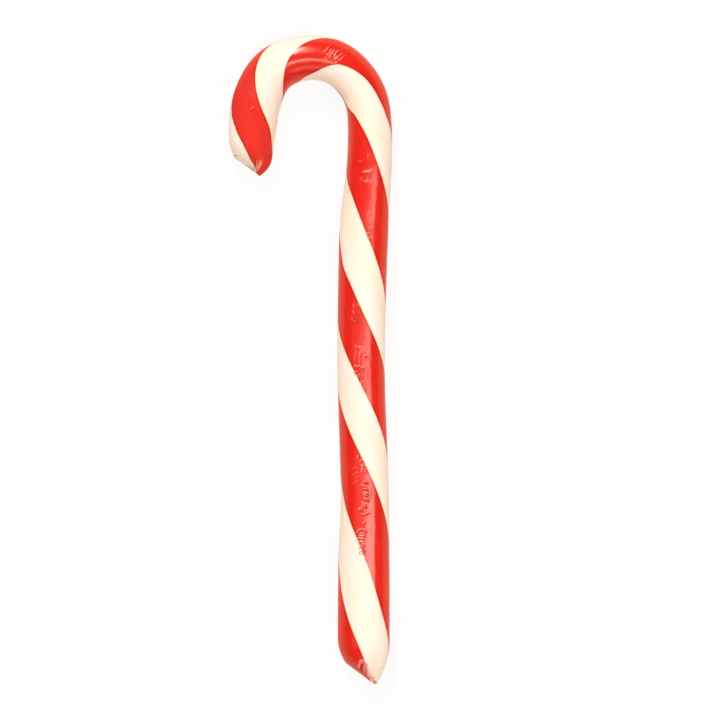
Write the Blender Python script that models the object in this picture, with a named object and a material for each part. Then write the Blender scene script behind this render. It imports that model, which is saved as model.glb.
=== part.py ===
"""A candy cane of pulled sugar, lying on its side with the hook pointing left.

One rod of hard candy runs from the cut tip of the hook, round the hook and down the shaft to the
lower tip. It was twisted while warm, so that two red and two cream bands wind round it, then bent,
cut off at a slant with shears at both ends, and laid down to cool, which left it a narrow flat to
rest on. X points right, Y points from the lower tip to the top of the hook, and Z points up.
The origin is under the middle of the cane, on the surface it lies on.
"""

from math import cos, exp, pi, radians, sin

import bmesh
import bpy
from mathutils import Matrix, Vector

MM = 0.001

# The rod's route: a straight tip, a half circle and a straight shaft, in millimetres
HOOK_RADIUS = 13.55
HOOK_TIP_LENGTH = 11.8
SHAFT_LENGTH = 130.0

# What the hands that rolled, twisted and bent it left, at distances along it from the hook's tip:
# how far the rod strays outwards from that route and half its thickness, in millimetres, how far
# its bands have turned, in degrees, and how much wider the red ones are than a quarter turn.
ROD_STATIONS = [
    (0, 0.20, 5.10, -4, 3),
    (5, 0.60, 5.30, 20, 3),
    (10, 0.20, 5.75, 51, 2),
    (17, -0.15, 5.80, 93, 0),
    (24, 0.50, 5.60, 147, 0),
    (31, 0.25, 5.35, 213, 2),
    (38, 0.25, 5.30, 261, 1),
    (45, -0.15, 5.20, 288, 0),
    (52, -0.25, 5.20, 310, 2),
    (59, 0.00, 5.30, 350, 3),
    (66, -0.25, 5.40, 383, 4),
    (80, -1.35, 5.80, 450, 4),
    (100, -1.95, 5.75, 541, 4),
    (115, -2.05, 5.65, 621, 4),
    (132, -1.50, 5.70, 704, 5),
    (144, -1.20, 5.75, 756, 10),
    (156, -1.40, 6.05, 809, 4),
    (170, -1.45, 6.20, 856, 4),
    (185, -1.45, 6.20, 917, 4),
]

# Where the pulling left one edge between two bands further round than the others: the distance
# along, which of the four edges, and how far it is turned, in degrees. A pull fades over PULL_REACH.
BAND_PULLS = [
    (0.0, 1, 35),
    (21.6, 2, -8),
    (29.0, 1, 4),
    (34.5, 1, -9),
    (49.5, 0, -14),
    (68.5, 3, -11),
    (89.0, 2, -6),
    (184.4, 1, -26),
]
PULL_REACH = 3.5

# The slanted cuts: how long the rod thins before the cut, how far the cut reaches to the left and
# right of the rod's middle, how full each flank stays before it turns in to the cut (a power), how
# far the cut's right end lies below its middle, how far the cut bows out, and how far the pinch of
# the shears drags the bands round, in degrees
HOOK_CUT = {
    "thinning": 6.6, "left": 4.35, "right": 1.75, "left_fullness": 2.0, "right_fullness": 4.0,
    "slant": 2.0, "bow": 0.5, "drag": -25,
}
SHAFT_CUT = {
    "thinning": 8.0, "left": 4.4, "right": 3.1, "left_fullness": 1.9, "right_fullness": 2.0,
    "slant": 2.55, "bow": 0.7, "drag": 14,
}
# How suddenly that drag comes, and how the rod thins to the edge that the shears left (powers)
DRAG_SHARPNESS = 12
NOSE_FULLNESS = 2.4
NOSE_ROUNDNESS = 0.62
CUT_EDGE_THICKNESS = 0.7

# Rolling on a board evened out the rod's height more than its width: half the height it would be
# everywhere, and how near to that it came
EVEN_HALF_HEIGHT = 5.7
HEIGHT_EVENNESS = 1.0

# How much of the round underside the flat takes away
FLAT_DEPTH = 0.2

BANDS = 4
SIDES = 44
RING_SPACING = 2.0
NOSE_RINGS = 9

RED = (0.80, 0.022, 0.014, 1.0)
CREAM = (0.96, 0.86, 0.68, 1.0)
CANDY_ROUGHNESS = 0.18


def smooth_value(places, values, at):
    """A smooth curve through values at places, read at one place (a cubic between neighbours)."""
    last = len(places) - 1
    k = next((i for i in range(last) if at <= places[i + 1]), last - 1)

    def slope(i):
        before, after = max(i - 1, 0), min(i + 1, last)
        return (values[after] - values[before]) / (places[after] - places[before])

    step = places[k + 1] - places[k]
    t = (at - places[k]) / step
    if t < 0:
        return values[0] + slope(0) * (at - places[0])
    if t > 1:
        return values[last] + slope(last) * (at - places[last])
    return (
        values[k] * (1 + 2 * t) * (1 - t) ** 2
        + slope(k) * step * t * (1 - t) ** 2
        + values[k + 1] * t * t * (3 - 2 * t)
        + slope(k + 1) * step * t * t * (t - 1)
    )


def rod_length():
    return HOOK_TIP_LENGTH + pi * HOOK_RADIUS + SHAFT_LENGTH


def route(distance):
    """The point on the rod's plain route, and the direction out of the hook, at a distance."""
    if distance <= HOOK_TIP_LENGTH:
        return Vector((-HOOK_RADIUS, distance - HOOK_TIP_LENGTH, 0)), Vector((-1, 0, 0))
    angle = pi - (distance - HOOK_TIP_LENGTH) / HOOK_RADIUS
    if angle >= 0:
        outwards = Vector((cos(angle), sin(angle), 0))
        return HOOK_RADIUS * outwards, outwards
    below = distance - HOOK_TIP_LENGTH - pi * HOOK_RADIUS
    return Vector((HOOK_RADIUS, -below, 0)), Vector((1, 0, 0))


def station_value(column, distance):
    """One column of the stations, read smoothly at a distance."""
    places = [station[0] for station in ROD_STATIONS]
    return smooth_value(places, [station[column] for station in ROD_STATIONS], distance)


def stray(distance):
    return station_value(1, distance)


def half_thickness(distance):
    return station_value(2, distance)


def half_height(distance):
    width = half_thickness(distance)
    return width + HEIGHT_EVENNESS * (EVEN_HALF_HEIGHT - width)


def twist(distance):
    """How far the bands have turned round the rod, in radians."""
    return radians(station_value(3, distance))


def pull(distance, k):
    """How far one point of a ring is turned further with the band edges beside it, in radians."""
    apart = [abs((BANDS * k / SIDES - edge + BANDS / 2) % BANDS - BANDS / 2) for edge in range(BANDS)]
    share = [max(0.0, 1 - far) for far in apart]
    total = station_value(4, distance) / 2 * (share[0] - share[1] + share[2] - share[3])
    for at, edge, turn in BAND_PULLS:
        total += turn * share[edge] * exp(-(((distance - at) / PULL_REACH) ** 2))
    return radians(total)


def plain_ring(distance):
    """One round ring of points, where the rod isn't pinched."""
    centre, outwards = route(distance)
    centre = centre + stray(distance) * outwards
    radius, rise = half_thickness(distance), half_height(distance)
    points = []
    for k in range(SIDES):
        angle = 2 * pi * k / SIDES + twist(distance) + pull(distance, k)
        point = centre + outwards * (radius * sin(angle))
        point.z = max(rise - FLAT_DEPTH + rise * cos(angle), 0.0)
        points.append(point * MM)
    return points


def pinched_ring(distance, cut, share):
    """One ring where the rod thins to a cut. share goes from 0, where it starts, to 1 at the cut."""
    centre, outwards = route(distance)
    centre = centre + stray(distance) * outwards
    radius, rise = half_thickness(distance), half_height(distance)
    to_left = radius + (cut["left"] - radius) * share ** cut["left_fullness"]
    to_right = radius + (cut["right"] - radius) * share ** cut["right_fullness"]
    edge = CUT_EDGE_THICKNESS / 2
    thick = edge + (rise - edge) * (1 - share**NOSE_FULLNESS) ** NOSE_ROUNDNESS
    turned = twist(distance) + radians(cut["drag"]) * share**DRAG_SHARPNESS
    points = []
    for k in range(SIDES):
        angle = 2 * pi * k / SIDES + turned + pull(distance, k)
        sideways = outwards.x * sin(angle)
        reach = to_right if sideways > 0 else to_left
        drop = share * (cut["slant"] * sideways + cut["bow"] * (1 - sideways**2))
        point = centre + Vector((sideways * reach, -drop, 0))
        point.z = max(rise - FLAT_DEPTH + thick * cos(angle), 0.0)
        points.append(point * MM)
    return points


def rod_rings():
    """All the rings, from the hook's tip to the lower tip, closer together where the ends thin."""
    length = rod_length()
    steps = [sin(radians(90 * k / NOSE_RINGS)) for k in range(NOSE_RINGS + 1)]
    first, last = HOOK_CUT["thinning"], length - SHAFT_CUT["thinning"]
    rings = [pinched_ring(first * (1 - share), HOOK_CUT, share) for share in reversed(steps)]
    count = round((last - first) / RING_SPACING)
    rings += [plain_ring(first + (last - first) * k / count) for k in range(1, count)]
    rings += [pinched_ring(last + (length - last) * share, SHAFT_CUT, share) for share in steps]
    return rings


def candy_material(name, colour):
    material = bpy.data.materials.new(name)
    material.use_nodes = True
    material.diffuse_color = colour
    shader = material.node_tree.nodes["Principled BSDF"]
    shader.inputs["Base Color"].default_value = colour
    shader.inputs["Roughness"].default_value = CANDY_ROUGHNESS
    shader.inputs["Metallic"].default_value = 0.0
    return material


def candy_cane():
    """The whole cane as one closed mesh. Rows of faces follow the bands, so a band is whole faces."""
    mesh = bpy.data.meshes.new("candy_cane")
    builder = bmesh.new()
    rings = [[builder.verts.new(point) for point in points] for points in rod_rings()]
    for here, there in zip(rings, rings[1:]):
        for k in range(SIDES):
            following = (k + 1) % SIDES
            face = builder.faces.new((here[k], here[following], there[following], there[k]))
            band = k * BANDS // SIDES
            face.material_index = 1 if band % 2 else 0
    builder.faces.new(rings[0])
    builder.faces.new(rings[-1])
    bmesh.ops.recalc_face_normals(builder, faces=builder.faces[:])
    builder.to_mesh(mesh)
    builder.free()
    mesh.shade_smooth()
    mesh.set_sharp_from_angle(angle=radians(50))
    mesh.materials.append(candy_material("cream_candy", CREAM))
    mesh.materials.append(candy_material("red_candy", RED))
    return mesh


def centre_on_origin(mesh):
    """Moves the mesh so that the middle of its outline is over the origin. It already rests at zero."""
    xs = [v.co.x for v in mesh.vertices]
    ys = [v.co.y for v in mesh.vertices]
    middle = Vector(((min(xs) + max(xs)) / 2, (min(ys) + max(ys)) / 2, 0))
    mesh.transform(Matrix.Translation(-middle))


def main():
    for old in list(bpy.data.objects):
        bpy.data.objects.remove(old)
    mesh = candy_cane()
    centre_on_origin(mesh)
    cane = bpy.data.objects.new("candy_cane", mesh)
    bpy.context.scene.collection.objects.link(cane)


main()
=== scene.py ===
# %% [markdown]
# # A candy cane of pulled sugar
#
# The real thing is one rod of boiled sugar. The maker lays red and white bars of warm candy side by
# side, rolls and twists them into a rope, bends the end of the rope over and snips it off at a slant.
# The same steps make it here: a route, a sweep along the route, twisted bands, pinched ends, and then
# the small dents and wrinkles that the soft surface picks up.

from math import cos, exp, pi, radians, sin, tan
from random import Random

import bpy
from mathutils import Matrix, Vector


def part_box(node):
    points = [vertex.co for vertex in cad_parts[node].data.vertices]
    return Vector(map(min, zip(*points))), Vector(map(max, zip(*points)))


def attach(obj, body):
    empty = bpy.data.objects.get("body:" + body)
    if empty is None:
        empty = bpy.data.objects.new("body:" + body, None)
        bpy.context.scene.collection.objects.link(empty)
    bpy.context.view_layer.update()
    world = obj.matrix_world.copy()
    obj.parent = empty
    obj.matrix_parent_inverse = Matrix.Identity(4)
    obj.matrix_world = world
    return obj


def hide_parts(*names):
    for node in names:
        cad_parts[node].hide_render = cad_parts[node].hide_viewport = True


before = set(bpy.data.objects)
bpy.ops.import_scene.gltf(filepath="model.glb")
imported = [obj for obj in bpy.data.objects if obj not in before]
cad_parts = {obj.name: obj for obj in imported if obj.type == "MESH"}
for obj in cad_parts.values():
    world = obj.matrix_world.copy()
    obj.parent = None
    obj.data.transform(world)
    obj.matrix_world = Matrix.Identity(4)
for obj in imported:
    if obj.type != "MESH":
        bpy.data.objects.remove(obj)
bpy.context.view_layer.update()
MM = 0.001

# %% [markdown]
# ## The rod's sizes
#
# These are the solid's own named sizes, in millimetres. The route is a straight tip, a half circle
# and a straight shaft. A table of stations then says how far the hand-rolled rod strays from that
# route, how thick it is, and how far its bands have turned. Reading the table through a smooth curve
# gives a rod without corners, which matters on a glossy thing: a reflection shows every kink.

# %% The rod's sizes
HOOK_RADIUS = 13.55
HOOK_TIP_LENGTH = 11.8
SHAFT_LENGTH = 130.0
ROD_LENGTH = HOOK_TIP_LENGTH + pi * HOOK_RADIUS + SHAFT_LENGTH

# Distance from the hook's tip, stray outwards and half thickness in millimetres, then in degrees the
# turn of the bands and how much wider the red ones are than a quarter turn. These are places where
# the rod's look changes, from the tip of the hook down to the tip of the shaft.
ROD_STATIONS = [
    (0, 0.20, 5.10, -4, 3),
    (5, 0.60, 5.30, 20, 3),
    (10, 0.20, 5.75, 51, 2),
    (17, -0.15, 5.80, 93, 0),
    (24, 0.50, 5.60, 147, 0),
    (31, 0.25, 5.35, 213, 2),
    (38, 0.25, 5.30, 261, 1),
    (45, -0.15, 5.20, 288, 0),
    (52, -0.25, 5.20, 310, 2),
    (59, 0.00, 5.30, 350, 3),
    (66, -0.25, 5.40, 383, 4),
    (80, -1.35, 5.80, 450, 4),
    (100, -1.95, 5.75, 541, 4),
    (115, -2.05, 5.65, 621, 4),
    (132, -1.50, 5.70, 704, 5),
    (144, -1.20, 5.75, 756, 10),
    (156, -1.40, 6.05, 809, 4),
    (170, -1.45, 6.20, 856, 4),
    (185, -1.45, 6.20, 917, 4),
]

# Where the pulling left one edge between two bands further round than the others: the distance
# along, which of the four edges, and how far it is turned, in degrees. A pull fades over PULL_REACH.
BAND_PULLS = [
    (0.0, 1, 35),
    (21.6, 2, -8),
    (29.0, 1, 4),
    (34.5, 1, -9),
    (49.5, 0, -14),
    (68.5, 3, -11),
    (89.0, 2, -6),
    (184.4, 1, -26),
]
PULL_REACH = 3.5
BANDS = 4

# The slanted cuts, as in the solid: how long the rod thins before the cut, how far it reaches to the
# left and right, how full each flank stays before it turns in to the cut (a power), how far the
# cut's right end lies below its middle, how far it bows out, and how far the pinch of the shears
# drags the bands round. Lengths are in millimetres and the drag is in degrees.
HOOK_CUT = {
    "thinning": 6.6, "left": 4.35, "right": 1.75, "left_fullness": 2.0, "right_fullness": 4.0,
    "slant": 2.0, "bow": 0.5, "drag": -25,
}
SHAFT_CUT = {
    "thinning": 8.0, "left": 4.4, "right": 3.1, "left_fullness": 1.9, "right_fullness": 2.0,
    "slant": 2.55, "bow": 0.7, "drag": 14,
}
# How suddenly that drag comes, and how the rod thins to the edge that the shears left (powers)
DRAG_SHARPNESS = 12
NOSE_FULLNESS = 2.4
NOSE_ROUNDNESS = 0.62
CUT_EDGE_THICKNESS = 0.7

# Rolling evened out the rod's height: half the height everywhere, and what the flat underside takes
EVEN_HALF_HEIGHT = 5.7
FLAT_DEPTH = 0.2

# The plain skin lies this far inside the solid, and nothing on it stands prouder than this
SKIN_ALLOWANCE = 0.12
MOST_PROUD = 0.07

# %% Reading the stations


def smooth_value(places, values, at):
    """A smooth curve through values at places, read at one place (a cubic between neighbours)."""
    last = len(places) - 1
    k = next((i for i in range(last) if at <= places[i + 1]), last - 1)

    def slope(i):
        before, after = max(i - 1, 0), min(i + 1, last)
        return (values[after] - values[before]) / (places[after] - places[before])

    step = places[k + 1] - places[k]
    t = (at - places[k]) / step
    if t < 0:
        return values[0] + slope(0) * (at - places[0])
    if t > 1:
        return values[last] + slope(last) * (at - places[last])
    return (
        values[k] * (1 + 2 * t) * (1 - t) ** 2
        + slope(k) * step * t * (1 - t) ** 2
        + values[k + 1] * t * t * (3 - 2 * t)
        + slope(k + 1) * step * t * t * (t - 1)
    )


def station_value(column, distance):
    """One column of the stations, read smoothly at a distance."""
    places = [station[0] for station in ROD_STATIONS]
    return smooth_value(places, [station[column] for station in ROD_STATIONS], distance)


def edge_pull(edge, distance):
    """How far one edge between two bands is turned past its even place, in radians."""
    pulls = [(at, turn) for at, which, turn in BAND_PULLS if which == edge]
    here = [turn * exp(-(((distance - at) / PULL_REACH) ** 2)) for at, turn in pulls]
    wider = station_value(4, distance) / 2 * (-1 if edge % 2 else 1)
    return radians(sum(here) + wider)


def route(distance):
    """The point on the rod's plain route, and the direction out of the hook, at a distance."""
    if distance <= HOOK_TIP_LENGTH:
        return Vector((-HOOK_RADIUS, distance - HOOK_TIP_LENGTH, 0)), Vector((-1, 0, 0))
    angle = pi - (distance - HOOK_TIP_LENGTH) / HOOK_RADIUS
    if angle >= 0:
        outwards = Vector((cos(angle), sin(angle), 0))
        return HOOK_RADIUS * outwards, outwards
    below = distance - HOOK_TIP_LENGTH - pi * HOOK_RADIUS
    return Vector((HOOK_RADIUS, -below, 0)), Vector((1, 0, 0))


turns = station_value(3, ROD_LENGTH) / 360
print(f"the rod is {ROD_LENGTH:.1f} mm long, and its bands turn round it {turns:.2f} times")

# %% [markdown]
# ## Marks of handling
#
# Warm candy takes a mark from whatever touches it: dashes, small waves and loops, and rows of teeth
# along the crest, where fingers and the rolling board pressed it. Each is written here the way one
# would draw it, by its kind, its place on the unrolled rod, its size, its tilt and its depth. A row
# of them runs between two places, with a little seeded unevenness, as no two real ones are alike.

# %% The marks, listed
MARK_SEED = 11
MARK_UNEVENNESS = 0.22
WOBBLE = 0.10

# Kind, first and last place as (along, across), how many, half the size, tilt in degrees, depth.
# Lengths are in millimetres. Across is counted from the crest, outwards from the hook's middle, and a
# tilt of 0 lies across the rod. A depth below zero is a ridge, which shows as a thin bright line, partly
# a painted glint. A groove gets painted shade, and the lip beside it a painted glint.
MARKS = [
    ("line", (13.6, 0.5), (13.6, 0.5), 1, 0.45, -45, -0.05),
    ("line", (26.2, -4.1), (26.9, -3.5), 2, 0.55, 10, 0.08),
    ("line", (36.5, 2.2), (39.7, 2.4), 7, 0.95, 26, 0.085),
    ("line", (36.8, 0.9), (39.5, 1.0), 7, 0.70, 20, 0.070),
    ("line", (37.0, 1.5), (39.4, 1.7), 4, 1.20, 24, -0.030),
    ("line", (63.4, -0.4), (63.4, -0.4), 1, 0.80, 85, -0.04),
    ("wave", (64.8, -2.3), (64.8, -2.3), 1, 0.40, 20, -0.04),
    ("line", (67.0, -0.3), (67.0, -0.3), 1, 1.30, -14, -0.090),
    ("wave", (69.3, -0.5), (69.3, -0.5), 1, 1.40, 12, -0.055),
    ("line", (72.5, 1.9), (72.5, 1.9), 1, 3.00, 93, 0.045),
    ("wave", (77.8, 1.1), (77.8, 1.1), 1, 1.50, 75, -0.06),
    ("loop", (80.9, 1.3), (82.1, 1.6), 2, 0.45, 0, 0.10),
    ("arc", (82.8, 1.8), (82.8, 1.8), 1, 0.50, 20, 0.10),
    ("arc", (98.0, -1.5), (98.0, -1.5), 1, 0.80, -10, -0.07),
    ("wave", (100.4, -1.7), (100.4, -1.7), 1, 0.45, 60, 0.08),
    ("loop", (102.0, -1.6), (102.0, -1.6), 1, 0.45, 0, 0.09),
    ("arc", (107.8, -0.1), (107.8, -0.1), 1, 0.60, 0, -0.075),
    ("wave", (108.3, -1.0), (108.3, -1.0), 1, 0.40, 30, 0.07),
    ("arc", (110.2, 1.5), (110.2, 1.5), 1, 0.65, 5, 0.18),
    ("line", (110.5, -1.0), (110.5, -0.5), 2, 1.60, 88, 0.04),
    ("wave", (112.9, -0.3), (112.9, -0.3), 1, 1.30, 5, 0.13),
    ("loop", (114.2, -0.8), (117.8, 1.0), 6, 0.36, 0, 0.09),
    ("line", (114.8, 1.5), (114.8, 1.5), 1, 2.00, 88, 0.06),
    ("loop", (134.2, -0.7), (137.2, 0.2), 5, 0.40, 0, 0.10),
    ("arc", (136.5, -1.7), (139.5, -1.5), 4, 0.90, 0, 0.035),
    ("line", (139.6, 0.3), (145.4, 0.1), 8, 0.50, 24, 0.17),
    ("line", (142.8, 1.8), (142.8, 1.8), 1, 3.30, 91, 0.08),
    ("line", (146.9, 0.3), (146.9, 0.3), 1, 1.30, -12, 0.12),
    ("loop", (146.0, -0.9), (146.0, -0.9), 1, 0.28, 0, 0.13),
    ("line", (148.3, 1.6), (148.3, 1.6), 1, 1.00, 60, 0.05),
    ("line", (149.1, 0.0), (149.1, 0.0), 1, 0.40, -20, 0.12),
    ("arc", (150.6, -0.7), (150.6, -0.7), 1, 0.90, -15, 0.14),
    ("line", (150.9, -0.3), (153.4, -0.5), 5, 0.65, 8, 0.14),
    ("line", (151.4, 1.5), (151.4, 1.5), 1, 1.00, 88, 0.08),
    ("loop", (154.3, -0.6), (156.0, -0.4), 3, 0.36, 0, 0.13),
    ("line", (155.5, 0.5), (157.6, 0.3), 2, 0.40, 35, 0.10),
]

# The folds that the shears left at the two ends, written in the same way. Like the marks, they get
# painted shade in their grooves and a painted glint on their lips.
FOLDS = [
    ("line", (0.9, 5.8), (0.9, 5.8), 1, 2.00, -8, 0.16),
    ("line", (1.2, -0.9), (1.2, -0.9), 1, 1.10, 100, 0.13),
    ("arc", (181.2, 0.0), (181.2, 0.0), 1, 0.75, 0, 0.14),
    ("line", (182.7, -0.5), (182.7, -0.5), 1, 1.20, 80, 0.30),
    ("line", (182.7, 0.5), (182.7, 0.5), 1, 1.20, 98, 0.16),
    ("wave", (183.9, 2.6), (183.9, 2.6), 1, 1.30, 12, 0.22),
]

# Where the shears smeared red and cream into each other, with the strength of the smear as depth.
# The first is not a smear but a painted highlight on the pinched facet at the hook's tip.
SMEARS_AND_TIP_HIGHLIGHT = [
    # A painted highlight on the pinched facet at the hook's tip
    ("line", (1.2, -2.0), (1.2, -2.0), 1, 1.20, 118, 0.85),
    ("line", (1.0, 1.6), (1.0, 1.6), 1, 1.60, 30, 0.25),
    ("arc", (181.2, 0.0), (181.2, 0.0), 1, 0.75, 0, 0.55),
    ("line", (183.7, 1.7), (183.7, 1.7), 1, 1.30, 45, 0.95),
    ("line", (183.0, 1.1), (183.0, 1.1), 1, 1.20, 62, 0.85),
]

# %% Draw the marks as lines
# About how far apart the points of a curved stroke stand, in millimetres. A straight one's are closer.
STROKE_STEP = 0.12

# Shapes of a mark of half size 1: a wave's height and number, how far an arc and a loop bend round
# on either side of their middle, in radians, and how far a line bows
WAVE_HEIGHT = 0.16
WAVES_IN_A_MARK = 3.5
ARC_BEND = 1.5
LOOP_BEND = 2.7
LINE_BOW = 0.12

# How uneven a row is: its places stray by up to MARK_UNEVENNESS millimetres along and twice that
# across, its sizes and depths by that share, and its tilts by that times so many degrees. Each stroke
# wobbles too, and swings through so many radians from its middle to its end, along and across itself.
TILT_UNEVENNESS = 35
ALONG_WOBBLES = 5.3
ACROSS_WOBBLES = 4.1


def mark_shape(kind, t):
    """A mark of half size 1, as (across, along), for t from -1 at its one end to 1 at its other."""
    if kind == "wave":
        return t, WAVE_HEIGHT * sin(WAVES_IN_A_MARK * pi * t)
    if kind == "arc":
        return sin(ARC_BEND * t), 1 - cos(ARC_BEND * t)
    if kind == "loop":
        return sin(LOOP_BEND * t), -cos(LOOP_BEND * t)
    return t, LINE_BOW * (1 - t * t)


def stroke(kind, place, size, turn, phase):
    """One mark as points (along, across), turned and wobbling a little."""
    wobble = WOBBLE / max(size, 1.0)
    steps = max(4, round(4 * size / STROKE_STEP))
    points = []
    for i in range(steps + 1):
        t = 2 * i / steps - 1
        x, y = mark_shape(kind, t)
        x += wobble * sin(ALONG_WOBBLES * t + 2 * phase)
        y += wobble * sin(ACROSS_WOBBLES * t + phase)
        along = place[0] + size * (x * sin(turn) + y * cos(turn))
        across = place[1] + size * (x * cos(turn) - y * sin(turn))
        points.append((along, across))
    return points


def draw_marks(rows, seed):
    """Every mark as a list of points (along, across) and its depth."""
    draw = Random(seed)
    marks = []
    for kind, first, last, count, half, tilt, depth in rows:
        for k in range(count):
            share = k / (count - 1) if count > 1 else 0.5
            uneven = [draw.uniform(-MARK_UNEVENNESS, MARK_UNEVENNESS) * (count > 1) for _ in range(4)]
            along = first[0] + share * (last[0] - first[0]) + uneven[0]
            across = first[1] + share * (last[1] - first[1]) + 2 * uneven[1]
            size = half * (1 + uneven[2])
            turn = radians(tilt + TILT_UNEVENNESS * uneven[3])
            points = stroke(kind, (along, across), size, turn, draw.uniform(0, 2 * pi))
            marks.append((points, depth * (1 + uneven[2])))
    return marks


relief_marks = draw_marks(MARKS + FOLDS, MARK_SEED)
smear_and_tip_highlight_marks = draw_marks(SMEARS_AND_TIP_HIGHLIGHT, MARK_SEED)
print(f"{len(relief_marks)} marks in the skin, and {len(smear_and_tip_highlight_marks)} smears")

# %% [markdown]
# ## The guide line
#
# A sweep needs a line to follow. This one has a point for each ring of the rod, and each point
# carries what its ring needs as attributes: the way outwards, how far the ring reaches outwards and
# inwards, how thick it is, how high its middle lies and how far it drops at a cut. Rings stand close
# together where there are marks to draw, and further apart where the rod is plain, because the whole
# mesh has a budget of triangles.

# %% Where the rings stand
# How far apart rings stand by a mark and elsewhere, and how near to a mark that is, in millimetres.
# Then how many rings a pinched end has, and how far over a cut's rounded edge the last ones stand.
FINE_SPACING = 0.135
PLAIN_SPACING = 0.60
MARK_MARGIN = 0.3
NOSE_RINGS = 36
LIP_STEPS = [0.45, 0.8, 0.97]

marked_places = sorted(along for points, depth in relief_marks for along, across in points)


def is_marked(distance):
    """Whether a mark lies near this distance along the rod."""
    return any(abs(distance - place) < MARK_MARGIN for place in marked_places)


def plain_places(first, last):
    """Distances of the rings between the two pinched ends."""
    places = []
    at = first
    while at < last - PLAIN_SPACING:
        at += FINE_SPACING if is_marked(at) else PLAIN_SPACING
        places.append(at)
    return places


def ring_sizes(distance, cut=None, share=0.0, lip=0.0):
    """What one ring needs. share goes from 0 to 1 at the cut, and lip from 0 to 1 over its edge."""
    centre, outwards = route(distance)
    radius = station_value(2, distance) - SKIN_ALLOWANCE
    rise = EVEN_HALF_HEIGHT - SKIN_ALLOWANCE
    sizes = {
        "centre": centre + station_value(1, distance) * outwards, "outwards": outwards,
        "outer": radius, "inner": radius, "thick": rise, "height": EVEN_HALF_HEIGHT - FLAT_DEPTH,
        "slant": 0.0, "bow": 0.0, "turn": radians(station_value(3, distance)), "along": distance,
    }
    sizes |= {f"pull_{edge}": edge_pull(edge, distance) for edge in range(BANDS)}
    if cut:
        to_left = radius + (cut["left"] - SKIN_ALLOWANCE - radius) * share ** cut["left_fullness"]
        to_right = radius + (cut["right"] - SKIN_ALLOWANCE - radius) * share ** cut["right_fullness"]
        edge = CUT_EDGE_THICKNESS / 2
        thick = edge + (rise - edge) * (1 - share**NOSE_FULLNESS) ** NOSE_ROUNDNESS
        rounding = edge * (1 - (1 - lip**2) ** 0.5)
        sizes["outer"] = (to_right if outwards.x > 0 else to_left) - rounding
        sizes["inner"] = (to_left if outwards.x > 0 else to_right) - rounding
        sizes["thick"] = thick - rounding
        sizes["slant"] = share * cut["slant"] * outwards.x
        sizes["bow"] = share * (cut["bow"] - edge / 2 - SKIN_ALLOWANCE) + edge / 2 * lip
        sizes["turn"] += radians(cut["drag"]) * share**DRAG_SHARPNESS
    return sizes


def all_rings():
    """The sizes of every ring, from the hook's tip to the lower tip."""
    steps = [sin(radians(90 * k / NOSE_RINGS)) for k in range(NOSE_RINGS + 1)]
    first, last = HOOK_CUT["thinning"], ROD_LENGTH - SHAFT_CUT["thinning"]
    rings = [ring_sizes(0, HOOK_CUT, 1, lip) for lip in reversed(LIP_STEPS)]
    rings += [ring_sizes(first * (1 - share), HOOK_CUT, share) for share in reversed(steps)]
    rings += [ring_sizes(distance) for distance in plain_places(first, last)]
    rings += [ring_sizes(last + (ROD_LENGTH - last) * share, SHAFT_CUT, share) for share in steps]
    rings += [ring_sizes(ROD_LENGTH, SHAFT_CUT, 1, lip) for lip in LIP_STEPS]
    return rings


# %% Make the guide line


def line_object(name, points, edges):
    """A mesh of points and the edges that join them."""
    mesh = bpy.data.meshes.new(name)
    mesh.from_pydata(points, edges, [])
    thing = bpy.data.objects.new(name, mesh)
    bpy.context.scene.collection.objects.link(thing)
    return thing


def write_attribute(thing, name, values):
    """Writes one number, or one vector, for each point of a mesh."""
    if isinstance(values[0], Vector):
        attribute = thing.data.attributes.new(name, "FLOAT_VECTOR", "POINT")
        attribute.data.foreach_set("vector", [number for value in values for number in value])
    else:
        attribute = thing.data.attributes.new(name, "FLOAT", "POINT")
        attribute.data.foreach_set("value", values)


RINGS = all_rings()
ring_after_ring = [(k, k + 1) for k in range(len(RINGS) - 1)]
guide = line_object("guide_line", [ring["centre"] * MM for ring in RINGS], ring_after_ring)
for size in RINGS[0]:
    write_attribute(guide, size, [ring[size] for ring in RINGS])
print(f"the guide line has {len(RINGS)} rings")

# %% Put the marks on an unrolled sheet
# How wide a mark is: in millimetres for the faintest, and then a share of its depth more
WIDTH_OF_FAINTEST = 0.095
WIDTH_PER_DEPTH = 0.45


def mark_lines(name, marks):
    """All marks as lines of one mesh, at (along, across), fading out towards both their ends."""
    places, edges, depths, widths = [], [], [], []
    for points, depth in marks:
        last = len(points) - 1
        edges += [(len(places) + k, len(places) + k + 1) for k in range(last)]
        places += [(along, across, 0) for along, across in points]
        depths += [depth * sin(pi * (k + 0.5) / (last + 1)) ** 0.5 for k in range(last + 1)]
        widths += [WIDTH_OF_FAINTEST + WIDTH_PER_DEPTH * abs(depth)] * (last + 1)
    thing = line_object(name, places, edges)
    write_attribute(thing, "depth", depths)
    write_attribute(thing, "width", widths)
    return thing


marks_sheet = mark_lines("marks_sheet", relief_marks)
smears_sheet = mark_lines("smears_sheet", smear_and_tip_highlight_marks)
print(f"the unrolled sheet has {len(marks_sheet.data.vertices)} points of marks")

# %% [markdown]
# ## Formulas as nodes
#
# Geometry Nodes reckon with fields: one formula that is worked out at every point of a mesh. Wiring
# dozens of Math nodes by hand is slow to write and to read, so this small class lets Python's own
# signs do it: writing `a * b + 1` with two fields adds a Multiply node and an Add node to the tree.

# %% A field that Python can reckon with


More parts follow.
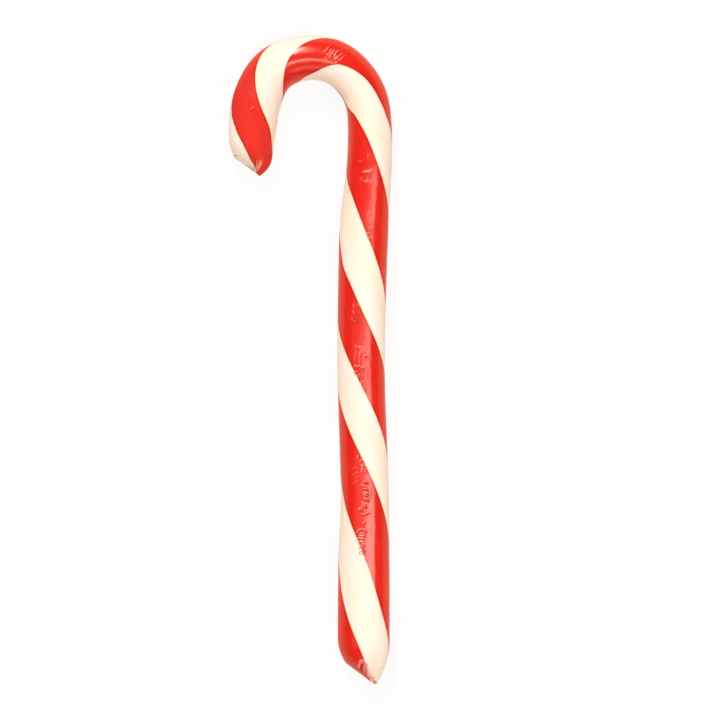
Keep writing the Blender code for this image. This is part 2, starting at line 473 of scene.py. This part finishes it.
class Field:
    """A socket in a node tree, with Python's signs for Math nodes."""

    def __init__(self, tree, socket):
        self.tree = tree
        self.socket = socket

    def math(self, operation, *others):
        """A Math node of this field and the others."""
        node = add_node(self.tree, "ShaderNodeMath", operation=operation)
        for place, operand in enumerate((self, *others)):
            feed(self.tree, operand, node.inputs[place])
        return Field(self.tree, node.outputs[0])

    def __add__(self, other):
        return self.math("ADD", other)

    def __sub__(self, other):
        return self.math("SUBTRACT", other)

    def __mul__(self, other):
        return self.math("MULTIPLY", other)

    def __truediv__(self, other):
        return self.math("DIVIDE", other)

    def __neg__(self):
        return self.math("MULTIPLY", -1.0)

    def between(self, lowest, highest):
        """The same field, held between two values."""
        return self.math("MAXIMUM", lowest).math("MINIMUM", highest)


def add_node(tree, kind, **settings):
    """A new node, set up and put in a tidy grid."""
    node = tree.nodes.new(kind)
    column, row = divmod(len(tree.nodes), 8)
    node.location = (220 * column, -260 * row)
    for name, value in settings.items():
        setattr(node, name, value)
    return node


def feed(tree, value, socket):
    """Links a field to a socket, or writes a plain value into it."""
    if isinstance(value, Field):
        tree.links.new(value.socket, socket)
    else:
        socket.default_value = value


def bell(field, width):
    """1 where the field is 0, falling to nothing a few widths away."""
    scaled = field / width
    return (-(scaled * scaled)).math("EXPONENT")


# %% Helpers that are only for Geometry Nodes


def attribute(tree, name, kind="FLOAT"):
    """What a point carries under this name."""
    node = add_node(tree, "GeometryNodeInputNamedAttribute", data_type=kind)
    node.inputs["Name"].default_value = name
    return Field(tree, node.outputs["Attribute"])


def store(tree, geometry, name, value, kind="FLOAT"):
    """Makes every point carry a value, for the material to read."""
    node = add_node(tree, "GeometryNodeStoreNamedAttribute", data_type=kind, domain="POINT")
    node.inputs["Name"].default_value = name
    tree.links.new(geometry, node.inputs["Geometry"])
    feed(tree, value, node.inputs["Value"])
    return node.outputs["Geometry"]


def vector(tree, x=0.0, y=0.0, z=0.0):
    """A vector of three fields or numbers."""
    node = add_node(tree, "ShaderNodeCombineXYZ")
    for place, value in enumerate((x, y, z)):
        feed(tree, value, node.inputs[place])
    return Field(tree, node.outputs[0])


def position_field(tree):
    return Field(tree, add_node(tree, "GeometryNodeInputPosition").outputs[0])


def vector_math(tree, operation, first, second):
    """A Vector Math node. The second operand is a number where it scales the first."""
    node = add_node(tree, "ShaderNodeVectorMath", operation=operation)
    feed(tree, first, node.inputs[0])
    feed(tree, second, node.inputs["Scale"] if operation == "SCALE" else node.inputs[1])
    return Field(tree, node.outputs["Vector"])


def noise(tree, place, scale, seed, detail=2.0):
    """Soft random lumps between about -1 and 1, from a seeded four-dimensional noise."""
    node = add_node(tree, "ShaderNodeTexNoise", noise_dimensions="4D", normalize=False)
    feed(tree, place, node.inputs["Vector"])
    feed(tree, seed, node.inputs["W"])
    node.inputs["Scale"].default_value = scale
    node.inputs["Detail"].default_value = detail
    return Field(tree, node.outputs[0])


# %% [markdown]
# ## The sweep
#
# Curve to Mesh gives the closed tube and carries every attribute from the guide line to the points
# of its ring. Each point's side number then says where it stands round the ring, and one formula
# puts it in its place. The sides are crowded towards the top, where the marks are. A plain round
# sweep could do the middle of the rod, but not the ends, which thin differently on every side.

# %% The tree's inputs
# Sides is how many points a ring has. Crowding is how far apart they stand at the top, as a share of
# an even spacing. Relief scales the depth of all relief, and Place moves the whole rod.


def tree_input(tree, name, kind, value):
    """A named input of the tree, with its own value where it has one."""
    socket = tree.interface.new_socket(name, in_out="INPUT", socket_type=kind)
    if value is not None:
        socket.default_value = value


rod_tree = bpy.data.node_groups.new("pulled_rod", "GeometryNodeTree")
tree_input(rod_tree, "Guide line", "NodeSocketGeometry", None)
tree_input(rod_tree, "Sides", "NodeSocketInt", 134)
tree_input(rod_tree, "Crowding", "NodeSocketFloat", 0.42)
tree_input(rod_tree, "Relief", "NodeSocketFloat", 1.0)
tree_input(rod_tree, "Seed", "NodeSocketFloat", 3.0)
tree_input(rod_tree, "Place", "NodeSocketVector", (0.0, 0.0, 0.0))
tree_input(rod_tree, "Marks", "NodeSocketObject", None)
tree_input(rod_tree, "Smears and tip highlight", "NodeSocketObject", None)
tree_input(rod_tree, "Candy", "NodeSocketMaterial", None)
rod_tree.interface.new_socket("Rod", in_out="OUTPUT", socket_type="NodeSocketGeometry")
group_input = add_node(rod_tree, "NodeGroupInput")
group_output = add_node(rod_tree, "NodeGroupOutput")


def rod_input(name):
    """One of those inputs, as a field."""
    return Field(rod_tree, group_input.outputs[name])


# %% The tube and where each point stands round it


def swept_tube(tree):
    """Sweeps a circle along the guide line. Its faces come out turned inwards, so they are flipped."""
    line = add_node(tree, "GeometryNodeMeshToCurve")
    tree.links.new(group_input.outputs["Guide line"], line.inputs["Mesh"])
    circle = add_node(tree, "GeometryNodeCurvePrimitiveCircle")
    circle.inputs["Radius"].default_value = MM
    tree.links.new(group_input.outputs["Sides"], circle.inputs["Resolution"])
    tube = add_node(tree, "GeometryNodeCurveToMesh")
    tree.links.new(line.outputs["Curve"], tube.inputs["Curve"])
    tree.links.new(circle.outputs["Curve"], tube.inputs["Profile Curve"])
    tube.inputs["Fill Caps"].default_value = True
    outside_out = add_node(tree, "GeometryNodeFlipFaces")
    tree.links.new(tube.outputs["Mesh"], outside_out.inputs["Mesh"])
    return outside_out.outputs["Mesh"]


def angle_round_ring(tree):
    """The angle from the top, from minus to plus a half turn, crowded towards the top."""
    index = Field(tree, add_node(tree, "GeometryNodeInputIndex").outputs[0])
    share = index.math("MODULO", rod_input("Sides")) / rod_input("Sides") * 2.0 - 1.0
    crowding = rod_input("Crowding")
    return (share * crowding + share * share * share * (crowding * -1.0 + 1.0)) * pi


def plain_place(tree, angle):
    """Where the formula puts each point, before any relief."""
    sine, cosine = angle.math("SINE"), angle.math("COSINE")
    is_outer = sine.math("GREATER_THAN", 0.0)
    outer, inner = attribute(tree, "outer"), attribute(tree, "inner")
    reach = inner + (outer - inner) * is_outer
    sideways = vector_math(tree, "SCALE", attribute(tree, "outwards", "FLOAT_VECTOR"), sine * reach * MM)
    drop = attribute(tree, "slant") * sine + attribute(tree, "bow") * (cosine * cosine)
    lift = (attribute(tree, "height") + attribute(tree, "thick") * cosine).math("MAXIMUM", 0.0)
    centre = vector_math(tree, "SCALE", attribute(tree, "centre", "FLOAT_VECTOR"), MM)
    ring_place = vector_math(tree, "ADD", centre, sideways)
    return vector_math(tree, "ADD", ring_place, vector(tree, 0.0, drop * -MM, lift * MM))


def set_place(tree, geometry, position=None, offset=None):
    """Puts every point at a position, or moves it by an offset."""
    node = add_node(tree, "GeometryNodeSetPosition")
    tree.links.new(geometry, node.inputs["Geometry"])
    if position:
        feed(tree, position, node.inputs["Position"])
    if offset:
        feed(tree, offset, node.inputs["Offset"])
    return node.outputs["Geometry"]


# %% [markdown]
# ## The relief
#
# Three things shape the skin. Slow lumps come from rolling by hand. A shallow groove runs where a red
# and a cream bar were pressed together. And each mark is a groove with a lip on one side, as where a
# finger has pushed the soft candy over, or a ridge where its depth is below zero. Geometry Proximity
# finds how far a point of the skin is from the nearest mark on the unrolled sheet. All of it moves
# the points along their normals, so that the mesh itself has it too.

# %% Lumps and seams
# Depths are in millimetres. Lumps and ripples are counted in a metre, and the drawn lines round the
# rod. The ripples and the drawn lines each take their seed a step above the tree's.
LUMP_DEPTH = 0.05
LUMPS_IN_A_METRE = 110.0
RIPPLE_DEPTH = 0.010
RIPPLES_IN_A_METRE = 620.0
RIPPLE_SEED_STEP = 7.0
DRAWN_DEPTH = 0.010
DRAWN_LINES = 5.0
DRAWN_SEED_STEP = 3.0

# The width of a seam is a share of the band's
SEAM_DEPTH = 0.03
SEAM_WIDTH = 0.035


def band_place(tree, angle):
    """Where a point stands among the bands: 0 to 1 is cream, 1 to 2 is red, and so on round."""
    even = (angle - attribute(tree, "turn")) / (pi / 2)

    def pulled(place):
        total = None
        for edge in range(BANDS):
            apart = (place - edge).math("WRAP", BANDS / 2, -BANDS / 2).math("ABSOLUTE")
            pull = (-apart + 1.0).math("MAXIMUM", 0.0) * attribute(tree, f"pull_{edge}") / (pi / 2)
            total = total + pull if total else pull
        return total

    # The pull depends on the place that is looked for, so that place is found in two rounds
    return even - pulled(even - pulled(even))


def lumps(tree, strand):
    """Slow lumps, small ripples and the fine lines that pulling drew out along the bands."""
    place = position_field(tree)
    seed = rod_input("Seed")
    slow = noise(tree, place, LUMPS_IN_A_METRE, seed, detail=1.0)
    quick = noise(tree, place, RIPPLES_IN_A_METRE, seed + RIPPLE_SEED_STEP, detail=2.0)
    drawn = noise(tree, strand, DRAWN_LINES, seed + DRAWN_SEED_STEP, detail=2.0)
    return slow * LUMP_DEPTH + quick * RIPPLE_DEPTH + drawn * DRAWN_DEPTH


def seams(tree, wave):
    """The shallow groove along each join."""
    return bell(wave, SEAM_WIDTH) * -SEAM_DEPTH


# %% Grooves along the marks
# The lip's height as a share of its groove's depth, and how far it stands from it on the unrolled
# sheet, in millimetres. From DEPTH_OF_A_CLEAR_MARK on, a mark has its full colour: the painted glint on
# its lip or ridge and the painted shade in its groove.
LIP_SHARE = 0.9
LIP_PLACE = (0.17, 0.13, 0.0)
DEPTH_OF_A_CLEAR_MARK = 0.055


def sampled(tree, points, index, name):
    """An attribute of the mark that lies nearest."""
    node = add_node(tree, "GeometryNodeSampleIndex", data_type="FLOAT", domain="POINT")
    tree.links.new(points, node.inputs["Geometry"])
    feed(tree, attribute(tree, name), node.inputs["Value"])
    tree.links.new(index, node.inputs["Index"])
    return Field(tree, node.outputs[0])


def nearest_mark(tree, sheet_input, angle, apart=(0.0, 0.0, 0.0)):
    """The distance to the nearest mark on the unrolled sheet, and that mark's depth and width."""
    info = add_node(tree, "GeometryNodeObjectInfo")
    tree.links.new(group_input.outputs[sheet_input], info.inputs["Object"])
    sheet = info.outputs["Geometry"]
    unrolled = vector(tree, attribute(tree, "along"), angle * attribute(tree, "outer"))
    unrolled = vector_math(tree, "ADD", unrolled, apart)
    near = add_node(tree, "GeometryNodeProximity", target_element="EDGES")
    tree.links.new(sheet, near.inputs["Geometry"])
    feed(tree, unrolled, near.inputs["Sample Position"])
    nearest = add_node(tree, "GeometryNodeSampleNearest", domain="POINT")
    tree.links.new(sheet, nearest.inputs["Geometry"])
    feed(tree, unrolled, nearest.inputs["Sample Position"])
    index = nearest.outputs["Index"]
    distance = Field(tree, near.outputs["Distance"])
    return distance, sampled(tree, sheet, index, "depth"), sampled(tree, sheet, index, "width")


def grooves(tree, angle):
    """How high the skin stands by its marks, and the same from -1 in a groove to 1 on a lip, which
    sets the painted shade and the painted glint.
    """
    distance, depth, width = nearest_mark(tree, "Marks", angle)
    lip_distance, lip_depth, lip_width = nearest_mark(tree, "Marks", angle, LIP_PLACE)
    shape = bell(lip_distance, lip_width) * lip_depth * LIP_SHARE - bell(distance, width) * depth
    return shape, (shape / DEPTH_OF_A_CLEAR_MARK).between(-1.0, 1.0)


def smears_and_tip_highlight(tree, angle):
    """How much red and cream are smeared together, and how strong the painted highlight at the
    hook's tip is, flat in the middle and with a crisp border.
    """
    distance, depth, width = nearest_mark(tree, "Smears and tip highlight", angle)
    return bell(distance * distance / width, width) * depth


# %% Wire the tree up
# One unit of the noise that follows the bands is this many millimetres of the rod
STRAND_STRETCH = 40.0

# The hook's tip is dull. The dullness fades over DULL_FADE and ends at DULL_UP_TO, in millimetres.
DULL_UP_TO = 24.0
DULL_FADE = 9.0

# The relief fades out down the sides, and the underside is smooth: it is gone where the cosine of the
# angle from the top is less than minus this
SMOOTH_BELOW = 0.95


def build_rod_tree(tree):
    """The sweep, what its points carry for the material, and then the relief."""
    angle = angle_round_ring(tree)
    tube = set_place(tree, swept_tube(tree), position=plain_place(tree, angle))
    place = band_place(tree, angle)
    wave = (place * pi).math("SINE")
    turned = place * (pi / 2)
    drawn_out = attribute(tree, "along") / STRAND_STRETCH
    strand = vector(tree, turned.math("COSINE"), turned.math("SINE"), drawn_out)
    tube = store(tree, tube, "band", wave)
    tube = store(tree, tube, "strand", strand, "FLOAT_VECTOR")
    tube = store(tree, tube, "smear_and_tip_highlight", smears_and_tip_highlight(tree, angle))
    groove, painted_glint_and_shade = grooves(tree, angle)
    # For the colour: a painted glint on the lips and ridges of marks, and painted shade in their grooves
    tube = store(tree, tube, "painted_glint_and_shade", painted_glint_and_shade)
    dull = (attribute(tree, "along") * -1.0 + DULL_UP_TO) / DULL_FADE
    tube = store(tree, tube, "dull", dull.between(0.0, 1.0))
    skin = lumps(tree, strand) + seams(tree, wave) + groove
    normal = Field(tree, add_node(tree, "GeometryNodeInputNormal").outputs[0])
    away_from_flat = (angle.math("COSINE") + SMOOTH_BELOW).between(0.0, 1.0)
    depth = (skin * away_from_flat).math("MINIMUM", MOST_PROUD) * rod_input("Relief") * MM
    tube = set_place(tree, tube, offset=vector_math(tree, "SCALE", normal, depth))
    tube = set_place(tree, tube, offset=rod_input("Place"))
    smooth = add_node(tree, "GeometryNodeSetShadeSmooth")
    tree.links.new(tube, smooth.inputs["Geometry"])
    real = add_node(tree, "GeometryNodeRealizeInstances")
    tree.links.new(smooth.outputs["Geometry"], real.inputs["Geometry"])
    painted = add_node(tree, "GeometryNodeSetMaterial")
    tree.links.new(real.outputs["Geometry"], painted.inputs["Geometry"])
    tree.links.new(group_input.outputs["Candy"], painted.inputs["Material"])
    tree.links.new(painted.outputs["Geometry"], group_output.inputs["Rod"])


build_rod_tree(rod_tree)
print(f"the tree has {len(rod_tree.nodes)} nodes")

# %% [markdown]
# ## The candy
#
# Boiled sugar is a clear glass with colour in it, and pulling fills it with fine air. So light goes a
# little way in before it comes back, which softens the shading, and the skin itself is glossy. The
# colour reads the sweep's own `band` attribute, so the bands follow the twist exactly. Their edges
# waver a little, the red has streaks that were drawn out with it, and the cream is warmer in places.
# The hook's tip was held while it was bent, so the sweep's `dull` attribute makes it rougher there.
# The marks carry painted glints on their lips and ridges and painted shade in their grooves, and one
# smear is a painted highlight on the pinched facet at the hook's tip.

# %% Colours of the candy
RED = (0.74, 0.0170, 0.0095, 1.0)
DEEP_RED = (0.71, 0.0110, 0.0085, 1.0)
WARM_RED = (0.74, 0.0270, 0.0105, 1.0)
JOIN_RED = (0.40, 0.0100, 0.0050, 1.0)
CREAM = (0.98, 0.790, 0.745, 1.0)
WARM_CREAM = (0.97, 0.775, 0.665, 1.0)
BLUSH = (1.0, 0.600, 0.420, 1.0)
# The pink of the smears, and of the painted highlight at the hook's tip
SMEAR_AND_TIP_HIGHLIGHT_PINK = (1.0, 0.360, 0.310, 1.0)
# Painted glints on the lips and ridges of marks, and painted shade in their grooves, on red and cream
RED_LIP_PAINTED_GLINT = (1.0, 0.320, 0.240, 1.0)
RED_GROOVE_PAINTED_SHADE = (0.42, 0.0035, 0.0045, 1.0)
CREAM_GROOVE_PAINTED_SHADE = (0.42, 0.045, 0.040, 1.0)

# Across a band, 0 is its edge and 1 its middle, and the red's side is below 0. The bands' edges waver
# and are soft by this much. A dark line runs in the red and a blush in the cream beside each edge:
# their places and widths across the band, and their strengths.
EDGE_WAVER = 0.030
WAVERS_IN_A_METRE = 420.0
EDGE_SOFTNESS = 0.035
DARK_LINE = {"place": -0.11, "width": 0.08, "strength": 0.8}
BLUSH_LINE = {"place": 0.04, "width": 0.11, "strength": 0.5}

# Streaks are counted round the rod and patches in a metre, each with the range of noise it fades over
RED_STREAKS = {"scale": 3.5, "detail": 3.0, "fade": (0.35, 0.65)}
WARM_PATCHES = {"scale": 130.0, "detail": 2.0, "fade": (0.55, 0.75)}
CREAM_STREAKS = {"scale": 1.6, "detail": 2.0, "fade": (0.3, 0.7)}


def texture_noise(tree, place, scale, detail=2.0):
    """Soft random values from 0 to 1."""
    node = add_node(tree, "ShaderNodeTexNoise")
    tree.links.new(place, node.inputs["Vector"])
    node.inputs["Scale"].default_value = scale
    node.inputs["Detail"].default_value = detail
    return Field(tree, node.outputs[0])


def mixed_colour(tree, share, first, second):
    """The first colour where share is 0, and the second where it is 1."""
    node = add_node(tree, "ShaderNodeMix", data_type="RGBA")
    feed(tree, share, node.inputs[0])
    feed(tree, first, node.inputs[6])
    feed(tree, second, node.inputs[7])
    return Field(tree, node.outputs[2])


def smooth_step(tree, value, low, high):
    """0 below low and 1 above high, with a smooth rise between them."""
    node = add_node(tree, "ShaderNodeMapRange", interpolation_type="SMOOTHSTEP")
    feed(tree, value, node.inputs["Value"])
    node.inputs["From Min"].default_value = low
    node.inputs["From Max"].default_value = high
    return Field(tree, node.outputs[0])


def patches(tree, place, kind):
    """From 0 to 1, in streaks or patches of one kind."""
    return smooth_step(tree, texture_noise(tree, place, kind["scale"], kind["detail"]), *kind["fade"])


def line_beside_edge(band, kind):
    """How strong a line that follows a band's edge is."""
    return bell(band - kind["place"], kind["width"]) * kind["strength"]


# %% The striped candy material
RED_ROUGHNESS = 0.20
CREAM_ROUGHNESS = 0.42
DULLED_ROUGHNESS = 0.85

# What is the same all over: light goes up to 2 mm in, the red of it the furthest
CANDY_FINISH = {
    "IOR": 1.55,
    "Subsurface Weight": 0.5,
    "Subsurface Radius": (1.0, 0.35, 0.2),
    "Subsurface Scale": 2.0 * MM,
    "Sheen Weight": 0.3,
    "Sheen Roughness": 0.2,
    "Sheen Tint": (1.0, 0.42, 0.14, 1.0),
    "Specular Tint": (0.70, 0.92, 0.78, 1.0),
}


def attribute_field(tree, name):
    return Field(tree, add_node(tree, "ShaderNodeAttribute", attribute_name=name).outputs["Fac"])


def candy_colours(tree, place, band, is_cream):
    """Red and cream with their streaks, the dark line and the blush at their joins, the marks with
    their painted glints and painted shade, and the smears with the painted highlight at the hook's tip.
    """
    strand = add_node(tree, "ShaderNodeAttribute", attribute_name="strand").outputs["Vector"]
    painted_glint_and_shade, smear_and_tip_highlight = attribute_field(tree, "painted_glint_and_shade"), attribute_field(tree, "smear_and_tip_highlight")
    # Where a painted glint goes, and where painted shade goes
    lip, groove = painted_glint_and_shade.math("MAXIMUM", 0.0), (-painted_glint_and_shade).math("MAXIMUM", 0.0)

    red = mixed_colour(tree, patches(tree, strand, RED_STREAKS), DEEP_RED, RED)
    red = mixed_colour(tree, patches(tree, place, WARM_PATCHES), red, WARM_RED)
    red = mixed_colour(tree, line_beside_edge(band, DARK_LINE), red, JOIN_RED)
    # A painted glint on the lips and ridges, then painted shade in the grooves
    red = mixed_colour(tree, lip, red, RED_LIP_PAINTED_GLINT)
    red = mixed_colour(tree, groove, red, RED_GROOVE_PAINTED_SHADE)

    cream = mixed_colour(tree, patches(tree, strand, CREAM_STREAKS), WARM_CREAM, CREAM)
    cream = mixed_colour(tree, line_beside_edge(band, BLUSH_LINE), cream, BLUSH)
    # Painted shade in the grooves on cream
    cream = mixed_colour(tree, groove, cream, CREAM_GROOVE_PAINTED_SHADE)

    colour = mixed_colour(tree, is_cream, red, cream)
    # The smears, and the painted highlight on the hook tip's facet
    return mixed_colour(tree, smear_and_tip_highlight, colour, SMEAR_AND_TIP_HIGHLIGHT_PINK)


def striped_candy():
    """Glossy red and cream candy that lets a little light in."""
    material = bpy.data.materials.new("striped_candy")
    material.use_nodes = True
    tree = material.node_tree
    shader = tree.nodes["Principled BSDF"]
    place = add_node(tree, "ShaderNodeTexCoord").outputs["Object"]
    waver = (texture_noise(tree, place, WAVERS_IN_A_METRE) - 0.5) * EDGE_WAVER * 2.0
    band = attribute_field(tree, "band") + waver
    is_cream = smooth_step(tree, band, -EDGE_SOFTNESS, EDGE_SOFTNESS)
    tree.links.new(candy_colours(tree, place, band, is_cream).socket, shader.inputs["Base Color"])
    glossy = is_cream * (CREAM_ROUGHNESS - RED_ROUGHNESS) + RED_ROUGHNESS
    roughness = glossy + (-glossy + DULLED_ROUGHNESS) * attribute_field(tree, "dull")
    tree.links.new(roughness.socket, shader.inputs["Roughness"])
    for name, value in CANDY_FINISH.items():
        shader.inputs[name].default_value = value
    return material


# %% [markdown]
# ## From the tree to the cane
#
# The sweep runs twice, each time on a guide line of its own, whose modifier has all its inputs before
# it is first worked out. The first has no relief, and only tells how far the rod has to move to lie
# over the solid. The second has the relief. New From Object turns the result into a plain mesh that
# needs no modifier any more, so it can be exported as it is.

# %% Sweep a rod


def set_input(modifier, tree, name, value):
    """Sets a modifier's input by its socket's identifier."""
    identifier = next(item.identifier for item in tree.interface.items_tree if item.name == name)
    modifier[identifier] = value


def pulled_rod(name, candy, relief, place):
    """The whole rod as a plain mesh, swept along a guide line of its own."""
    line = guide.copy()
    bpy.context.scene.collection.objects.link(line)
    sweep = line.modifiers.new("pulled_rod", "NODES")
    sweep.node_group = rod_tree
    inputs = {
        "Marks": marks_sheet, "Smears and tip highlight": smears_sheet, "Candy": candy, "Relief": relief, "Place": place,
    }
    for socket, value in inputs.items():
        set_input(sweep, rod_tree, socket, value)
    graph = bpy.context.evaluated_depsgraph_get()
    result = line.evaluated_get(graph)
    mesh = bpy.data.meshes.new_from_object(result, preserve_all_data_layers=True, depsgraph=graph)
    mesh.name = name
    bpy.data.objects.remove(line)
    return mesh


def middle_of(mesh):
    """The middle of a mesh's outline, seen from above."""
    xs = [vertex.co.x for vertex in mesh.vertices]
    ys = [vertex.co.y for vertex in mesh.vertices]
    return Vector(((min(xs) + max(xs)) / 2, (min(ys) + max(ys)) / 2, 0))


def place_on_solid(mesh, node):
    """How far the rod has to move so that its outline's middle is over the solid's."""
    low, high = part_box(node)
    target = Vector(((low[0] + high[0]) / 2, (low[1] + high[1]) / 2, 0))
    return target - middle_of(mesh)


candy = striped_candy()
print(f"the candy has {len(candy.node_tree.nodes)} nodes")
bare = pulled_rod("bare_rod", candy, relief=0.0, place=(0.0, 0.0, 0.0))
shift = place_on_solid(bare, "candy_cane")
print("the rod is moved onto the solid by", [round(v / MM, 3) for v in shift], "mm")

# %% Make the cane
cane_mesh = pulled_rod("candy_cane_sugar", candy, relief=1.0, place=tuple(shift))
cane = bpy.data.objects.new("candy_cane_sugar", cane_mesh)
bpy.context.scene.collection.objects.link(cane)
for helper in (guide, marks_sheet, smears_sheet):
    bpy.data.objects.remove(helper)
cane_mesh.calc_loop_triangles()
print(f"{cane.name} has {len(cane_mesh.loop_triangles)} triangles")

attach(cane, "root")
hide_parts("candy_cane")

# %% [markdown]
# ## Table, light and camera
#
# The cane lies on a white light table, so its shadow stays faint. In the candy's reflections the table
# is warmer and darker, or its glow would wash the rims out. Four soft lights hang round the cane. One
# with a grid stands to the right and makes the stripe of light down the red, a dimmer one fills the
# side towards the hook, one stands beyond the hook and gives the patch of light on its arch, and a
# weak one stands at the foot. A grid in front of a light makes it dim towards its sides, which is
# what gives the stripe its soft borders. The lights end where the hook begins, because a light that
# reached further would show on the hook's tip too. The camera looks straight down with a long lens,
# so that the arch, which is nearest to it, isn't drawn larger than the rest.

# %% The table
# Its half width is in metres, and it reaches far past the picture
TABLE_HALF_WIDTH = 3.0
TABLE_GREY = (0.08, 0.08, 0.08, 1.0)
TABLE_ROUGHNESS = 0.8
TABLE_GLOW = 0.90
TABLE_SEEN = (1.0, 1.0, 1.0, 1.0)
TABLE_IN_REFLECTIONS = (0.95, 0.66, 0.46, 1.0)


def light_table():
    """A wide square that glows, with its own material."""
    material = bpy.data.materials.new("light_table")
    material.use_nodes = True
    tree = material.node_tree
    shader = tree.nodes["Principled BSDF"]
    is_reflected = Field(tree, add_node(tree, "ShaderNodeLightPath").outputs["Is Glossy Ray"])
    glow = mixed_colour(tree, is_reflected, TABLE_SEEN, TABLE_IN_REFLECTIONS)
    tree.links.new(glow.socket, shader.inputs["Emission Color"])
    shader.inputs["Emission Strength"].default_value = TABLE_GLOW
    shader.inputs["Base Color"].default_value = TABLE_GREY
    shader.inputs["Roughness"].default_value = TABLE_ROUGHNESS
    shader.inputs["Specular IOR Level"].default_value = 0.0
    half = TABLE_HALF_WIDTH
    corners = [(-half, -half, 0), (half, -half, 0), (half, half, 0), (-half, half, 0)]
    mesh = bpy.data.meshes.new("table")
    mesh.from_pydata(corners, [], [(0, 1, 2, 3)])
    mesh.materials.append(material)
    top = bpy.data.objects.new("table", mesh)
    bpy.context.scene.collection.objects.link(top)
    return top


table = light_table()
print("the table is", 2 * TABLE_HALF_WIDTH, "m wide")

# %% Lights
# Watts for each square metre of a lamp that shows as plain white in the picture
WATTS_PER_RADIANCE = 4.0
LAMP_COLOUR = (1.0, 0.95, 0.96)
NO_GRID = 90.0


def aimed(place, aim, width_along):
    """The turn that points a lamp at its aim, with its width along a given direction."""
    back = (Vector(place) - Vector(aim)).normalized()
    up = back.cross(Vector(width_along)).normalized()
    return Matrix((up.cross(back), up, back)).transposed().to_euler()


def soft_light(name, place, aim, size, radiance, grid=NO_GRID, width_along=(1, 0, 0)):
    """A flat lamp, given by how bright its middle looks. A grid dims it to nothing at that angle."""
    light = bpy.data.lights.new(name, "AREA")
    light.color = LAMP_COLOUR
    light.shape = "RECTANGLE"
    light.size, light.size_y = size
    light.spread = radians(2 * grid)
    # Blender adds in the middle what a grid takes away at the sides, and this takes it off again
    focus = 1 - radians(grid) / tan(radians(grid)) if grid < NO_GRID else 1.0
    light.energy = radiance * focus * WATTS_PER_RADIANCE * size[0] * size[1]
    lamp = bpy.data.objects.new(name, light)
    lamp.location = place
    lamp.rotation_euler = aimed(place, aim, width_along)
    bpy.context.scene.collection.objects.link(lamp)


# Places and sizes are in metres, and a grid is an angle in degrees
soft_light("stripe_softbox", place=(0.34, -0.12, 0.90), aim=(0.01, -0.12, 0.0), size=(0.95, 0.21),
           radiance=7.4, grid=60.0, width_along=(1, 0.12, 0))
soft_light("left_softbox", place=(-0.36, -0.18, 0.90), aim=(0.01, -0.18, 0.0), size=(0.80, 0.40),
           radiance=0.9, grid=60.0)
soft_light("crown_softbox", place=(-0.24, 0.96, 0.90), aim=(0.0, 0.06, 0.0), size=(0.22, 0.70),
           radiance=20.0)
soft_light("foot_softbox", place=(0.0, -1.0, 0.75), aim=(0.01, -0.05, 0.0), size=(0.90, 0.45),
           radiance=1.3)

# %% The room
# How bright it is as the camera sees it, as light on the candy and in reflections, where it is dark
ROOM_SEEN = 0.92
ROOM_LIGHT = 0.31
ROOM_COLOUR = (1.0, 0.96, 0.52, 1.0)
ROOM_IN_REFLECTIONS = 0.15

world = bpy.data.worlds.new("pale_room")
world.use_nodes = True
background = world.node_tree.nodes["Background"]
background.inputs["Color"].default_value = ROOM_COLOUR
ray = add_node(world.node_tree, "ShaderNodeLightPath")
is_seen = Field(world.node_tree, ray.outputs["Is Camera Ray"])
is_reflected = Field(world.node_tree, ray.outputs["Is Glossy Ray"])
room = is_seen * (ROOM_SEEN - ROOM_LIGHT) + is_reflected * (ROOM_IN_REFLECTIONS - ROOM_LIGHT)
room = room + ROOM_LIGHT
world.node_tree.links.new(room.socket, background.inputs["Strength"])
bpy.context.scene.world = world
bpy.context.scene.view_settings.view_transform = "Standard"

# %% Camera
# In millimetres: the lens, the sensor, the width and the middle of what is seen, the height at which
# that is, and how near the camera starts to see
LENS = 400.0
SENSOR = 36.0
VIEW_WIDTH = 168.1
VIEW_MIDDLE = (11.55, 0.0)
MIDDLE_HEIGHT = 5.5
NEAREST_SEEN = 10.0

camera = bpy.data.objects.new("camera", bpy.data.cameras.new("camera"))
camera.data.lens = LENS
camera.data.sensor_width = SENSOR
camera.data.clip_start = NEAREST_SEEN * MM
camera.location = Vector((*VIEW_MIDDLE, MIDDLE_HEIGHT + VIEW_WIDTH * LENS / SENSOR)) * MM
bpy.context.scene.collection.objects.link(camera)
bpy.context.scene.camera = camera
print("the camera is at", [round(v, 4) for v in camera.location])
